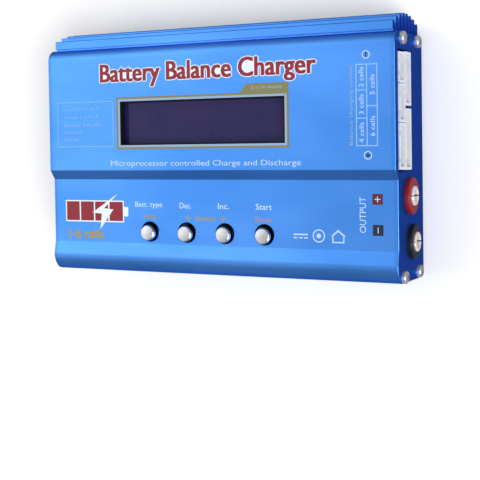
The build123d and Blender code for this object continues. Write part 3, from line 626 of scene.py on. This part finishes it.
# Words over the buttons: white ones, and gold ones under them.
button_x = {
    name: (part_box(f"button_{name}_cap")[0].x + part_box(f"button_{name}_cap")[1].x) / 2 / MM
    for name in ("stop", "dec", "inc", "start")
}
white_y, gold_y = -19.6, -23.9
labels = [
    ("battery_type", "Batt. type", button_x["stop"] - 0.4, 11.2, 2.3),
    ("dec", "Dec.", button_x["dec"] - 0.4, 4.6, 2.0),
    ("inc", "Inc.", button_x["inc"] - 0.4, 4.2, 2.0),
    ("start", "Start", button_x["start"] - 0.1, 5.9, 2.0),
]
for name, words, x, width, height in labels:
    letter(f"label_{name}", words, (x, white_y), width, height, lower_deck_z, "label")
status_x = (button_x["dec"] + button_x["inc"]) / 2
gold_labels = [
    ("stop", "Stop", button_x["stop"], 5.6, 1.9),
    ("enter", "Enter", button_x["start"], 6.4, 1.7),
    ("status", "Status", status_x, 8.0, 1.7),
]
in_gold = dict(level=lower_deck_z, ink="gold", swell=(0.07, 0.04, 4))
for name, words, x, width, height in gold_labels:
    letter(f"label_{name}", words, (x, gold_y), width, height, **in_gold)
arrow_x, arrow_length, arrow_half = 6.4, 1.6, 0.8
for name, side in (("left", -1), ("right", 1)):
    base = status_x + side * arrow_x
    tip = base + side * arrow_length
    triangle = [(base, gold_y - arrow_half), (tip, gold_y), (base, gold_y + arrow_half)]
    printed_shapes(f"status_arrow_{name}", [triangle], lower_deck_z, "gold")

# Battery pictogram with a flash across it, and the range of cells under it.
left, low, right, high = -61.0, -25.6, -36.6, -18.6
outline, stub_length, stub_low, stub_high = 0.45, 1.85, -23.8, -20.4
body = bar(left - outline, low - outline, right + outline, high + outline)
stub = bar(right + outline, stub_low, right + outline + stub_length, stub_high)
printed_shapes("battery_outline", [body, stub], lower_deck_z, "white")
cell_count, gap = 4, 0.55
cell_width = (right - left - (cell_count - 1) * gap) / cell_count
starts = [left + i * (cell_width + gap) for i in range(cell_count)]
cells = [bar(start, low, start + cell_width, high) for start in starts]
printed_shapes("battery_cells", cells, lower_deck_z, "red", layer=1)
flash = [
    (-46.3, -28.6),
    (-40.6, -21.4),
    (-44.6, -21.0),
    (-38.6, -15.6),
    (-49.6, -22.6),
    (-45.6, -23.0),
]
printed_shapes("battery_flash", [flash], lower_deck_z, "white", layer=2)
bold_gold = in_gold | {"swell": (0.24, 0.14, 4)}
letter("cell_range", "1-6 cells", (-52.6, -30.4), 14.6, 3.3, **bold_gold)

# Generic signs at the right of the buttons: direct current, polarity and indoor use.
icon_y = -28.9
current_x, dash, dash_pitch, dash_count = 30.2, 1.3, 1.9, 3
solid_bar = bar(current_x, icon_y + 0.1, current_x + 5.1, icon_y + 0.6)
dash_starts = [current_x + dash_pitch * i for i in range(dash_count)]
dashes = [bar(x, icon_y - 1.0, x + dash, icon_y - 0.55) for x in dash_starts]
printed_shapes("direct_current_sign", [solid_bar, *dashes], lower_deck_z, "soft_white")
polarity_x = 39.2
ring_and_dot = ring_sectors(polarity_x, icon_y, 2.2, 1.8) + [disc(polarity_x, icon_y, 0.8)]
printed_shapes("polarity_ring", ring_and_dot, lower_deck_z, "soft_white")
roof = [
    (43.4, icon_y),
    (46.0, icon_y + 2.2),
    (48.6, icon_y),
    (47.8, icon_y),
    (46.0, icon_y + 1.5),
    (44.2, icon_y),
]
walls = [
    bar(43.9, icon_y - 2.2, 44.3, icon_y - 0.1),
    bar(47.7, icon_y - 2.2, 48.1, icon_y - 0.1),
    bar(44.3, icon_y - 2.2, 47.7, icon_y - 1.8),
]
printed_shapes("indoor_use_sign", [roof, *walls], lower_deck_z, "soft_white")


# ---- floor, light and camera ----
def floor_material():
    """A pale matt floor. In the object's polished sides it shows a darker colour, a painted shade
    in the reflections.
    """
    finish = Finish("pale_floor", Specular_IOR_Level=0.2)
    clouds = finish.noise(0.6, detail=3)
    seen = finish.mix(finish.ramp(clouds, 0.3, 0.7), FLOOR_DARK, FLOOR_LIGHT)
    # painted shade in reflections: glossy rays see the floor darker than the camera does
    ray = finish.nodes.new("ShaderNodeLightPath").outputs["Is Glossy Ray"]
    finish.colour(finish.mix(ray, seen, FLOOR_SHADE_IN_REFLECTIONS))
    finish.rough(finish.ramp(clouds, 0.3, 0.7, 0.75, 0.85))
    return finish.material


def add_floor():
    """A flat pale floor, as one wide sheet."""
    build = bmesh.new()
    bmesh.ops.create_grid(build, x_segments=FLOOR_STEPS, y_segments=FLOOR_STEPS, size=FLOOR_HALF)
    mesh = bpy.data.meshes.new("floor")
    build.to_mesh(mesh)
    build.free()
    mesh.materials.append(floor_material())
    floor = bpy.data.objects.new("floor", mesh)
    bpy.context.scene.collection.objects.link(floor)


def add_sun():
    """A very wide far light, which gives soft shadows and an even floor."""
    light = bpy.data.lights.new("key", "SUN")
    light.energy = SUN_POWER
    light.angle = SUN_SPREAD
    lamp = bpy.data.objects.new("key", light)
    lamp.rotation_euler = (-Vector(SUN_TOWARDS)).to_track_quat("-Z", "Y").to_euler()
    bpy.context.scene.collection.objects.link(lamp)


def add_sky():
    """A pale room: dim at the floor line, with one broad soft glow high on the left."""
    world = bpy.data.worlds.new("studio")
    world.use_nodes = True
    nodes, links = world.node_tree.nodes, world.node_tree.links
    glow = nodes.new("ShaderNodeVectorMath")
    glow.operation = "DOT_PRODUCT"
    glow.inputs[1].default_value = Vector(GLOW_TOWARDS).normalized()
    links.new(nodes.new("ShaderNodeTexCoord").outputs["Generated"], glow.inputs[0])
    upper = nodes.new("ShaderNodeMath")
    upper.operation = "MAXIMUM"
    upper.inputs[1].default_value = 0
    links.new(glow.outputs["Value"], upper.inputs[0])
    focus = nodes.new("ShaderNodeMath")
    focus.operation = "POWER"
    focus.inputs[1].default_value = GLOW_FOCUS
    links.new(upper.outputs["Value"], focus.inputs[0])
    total = nodes.new("ShaderNodeMath")
    total.operation = "MULTIPLY_ADD"
    total.inputs[1].default_value = GLOW_POWER
    total.inputs[2].default_value = ROOM_POWER
    links.new(focus.outputs["Value"], total.inputs[0])
    links.new(total.outputs["Value"], nodes["Background"].inputs["Strength"])
    nodes["Background"].inputs["Color"].default_value = (1, 1, 1, 1)
    bpy.context.scene.world = world


def add_camera():
    """The camera, over the right end of the case, with the object high in the picture."""
    camera = bpy.data.objects.new("camera", bpy.data.cameras.new("camera"))
    camera.location = CAMERA_PLACE
    camera.rotation_euler = [radians(a) for a in CAMERA_TURN]
    camera.data.sensor_width = CAMERA_SENSOR
    camera.data.lens = CAMERA_LENS
    camera.data.shift_y = CAMERA_SHIFT
    camera.data.clip_start = CAMERA_NEAR
    bpy.context.scene.collection.objects.link(camera)
    bpy.context.scene.camera = camera


add_floor()
add_sky()
add_sun()
add_camera()
bpy.context.scene.view_settings.view_transform = "Standard"
